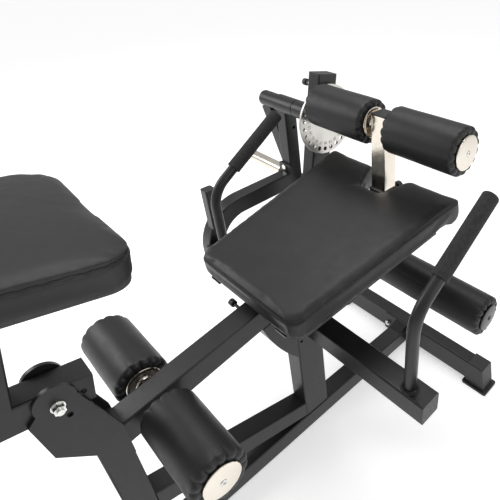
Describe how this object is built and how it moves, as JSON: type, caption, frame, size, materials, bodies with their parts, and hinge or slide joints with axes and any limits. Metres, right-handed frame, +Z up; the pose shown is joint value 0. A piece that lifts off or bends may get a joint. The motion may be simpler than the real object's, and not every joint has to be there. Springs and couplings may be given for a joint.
{
  "type": "lying leg curl machine",
  "caption": "Plate-loaded bench with a seat pad, folding chest and back pad, roller pads, grips, and a swing arm set on a numbered disc.",
  "frame": {"origin": "on the floor, under the middle of the whole outline", "axes": "+X to the seated user's right, +Y towards the knee and thigh-roller end, +Z up; the weight horn points to -X"},
  "size_m": [1.341, 1.3686, 1.0886],
  "materials": {
    "painted_frame": "fine-textured matt black powder coat",
    "zinc_fasteners": "bright zinc plate",
    "black_plastic": "moulded, slightly rough",
    "foam_grip": "dull closed-cell foam rubber",
    "rubber_bumper": "matt rubber",
    "leatherette": "smooth black leatherette, soft sheen",
    "stained_plywood": "black-stained plywood",
    "nickel_plate": "warm bright nickel plate",
    "roller_cup_black": "turned black plastic with a soft gloss",
    "satin_stainless": "satin, fine circular brushing",
    "ground_steel": "ground bar"
  },
  "bodies": {
    "frame": {"floor_beam": "painted_frame", "front_foot_tube": "painted_frame", "rear_foot_tube": "painted_frame", "foot_caps": "black_plastic", "foot_bolts": "zinc_fasteners", "seat_post": "painted_frame", "rear_post": "painted_frame", "lower_brace": "painted_frame", "seat_beam": "painted_frame", "seat_gusset": "painted_frame", "cross_tubes": "painted_frame", "frame_end_caps": "black_plastic", "handle_tubes": "painted_frame", "handle_grips": "foam_grip", "seat_rails": "painted_frame", "seat_board": "stained_plywood", "seat_pad": "leatherette", "seat_screws": "zinc_fasteners", "seat_knob": "black_plastic", "post_sleeve": "painted_frame", "thigh_pin_barrel": "painted_frame", "hinge_plates": "painted_frame", "hinge_bolt": "zinc_fasteners", "pivot_upright": "painted_frame", "pivot_housing": "painted_frame", "pivot_bearings": "ground_steel", "housing_plug": "black_plastic", "side_arm": "painted_frame", "upright_bolts": "zinc_fasteners", "rest_post": "painted_frame", "stop_bumper": "rubber_bumper"},
    "rotor": {"pivot_shaft": "ground_steel", "pivot_hub": "painted_frame", "selector_disc": "satin_stainless", "disc_screws": "zinc_fasteners", "weight_lever": "painted_frame", "weight_horn": "painted_frame", "horn_sleeve": "nickel_plate"},
    "arm": {"swing_arm": "painted_frame", "swing_arm_caps": "black_plastic", "ankle_axle": "ground_steel", "selector_barrel": "painted_frame"},
    "arm_pin": {"selector_pin": "ground_steel", "selector_knob": "black_plastic"},
    "ankle": {"ankle_roller": "leatherette", "ankle_cups": "roller_cup_black"},
    "post": {"thigh_post": "nickel_plate", "thigh_post_cap": "black_plastic", "thigh_axle": "ground_steel"},
    "post_pin": {"thigh_pin": "black_plastic"},
    "thigh_right": {"thigh_roller_right": "leatherette", "thigh_cups_right": "nickel_plate"},
    "thigh_left": {"thigh_roller_left": "leatherette", "thigh_cups_left": "nickel_plate"},
    "rear_pair": {"rear_axle": "ground_steel", "rear_rollers": "leatherette", "rear_cups": "nickel_plate"},
    "back_rest": {"back_frame": "painted_frame", "back_board": "stained_plywood", "back_pad": "leatherette"}
  },
  "joints": [
    {"name": "lever_turn", "type": "hinge", "parent": "frame", "child": "rotor", "pos_m": [-0.1455, 0.5493, 0.847], "axis": [1, 0, 0], "range_deg": [0, 100]},
    {"name": "arm_setting", "type": "hinge", "parent": "rotor", "child": "arm", "pos_m": [-0.0805, 0.5493, 0.847], "axis": [1, 0, 0], "range_deg": [-15, 75]},
    {"name": "arm_pin_pull", "type": "slide", "parent": "arm", "child": "arm_pin", "axis": [1, 0, 0], "range_m": [0, 0.012]},
    {"name": "ankle_roll", "type": "hinge", "parent": "arm", "child": "ankle", "pos_m": [0.2845, 0.5273, 0.432], "axis": [1, 0, 0], "continuous": true},
    {"name": "post_height", "type": "slide", "parent": "frame", "child": "post", "axis": [0, 0, 1], "range_m": [-0.08, 0.06]},
    {"name": "post_pin_pull", "type": "slide", "parent": "frame", "child": "post_pin", "axis": [0, -1, 0], "range_m": [0, 0.011]},
    {"name": "thigh_right_roll", "type": "hinge", "parent": "post", "child": "thigh_right", "pos_m": [0.3925, 0.5053, 0.912], "axis": [1, 0, 0], "continuous": true},
    {"name": "thigh_left_roll", "type": "hinge", "parent": "post", "child": "thigh_left", "pos_m": [0.0765, 0.5053, 0.912], "axis": [1, 0, 0], "continuous": true},
    {"name": "rear_roll", "type": "hinge", "parent": "frame", "child": "rear_pair", "pos_m": [0.2345, -0.2397, 0.5074], "axis": [1, 0, 0], "continuous": true},
    {"name": "back_rest_fold", "type": "hinge", "parent": "frame", "child": "back_rest", "pos_m": [0.2345, -0.3917, 0.668], "axis": [1, 0, 0], "range_deg": [-64, 0]}
  ]
}
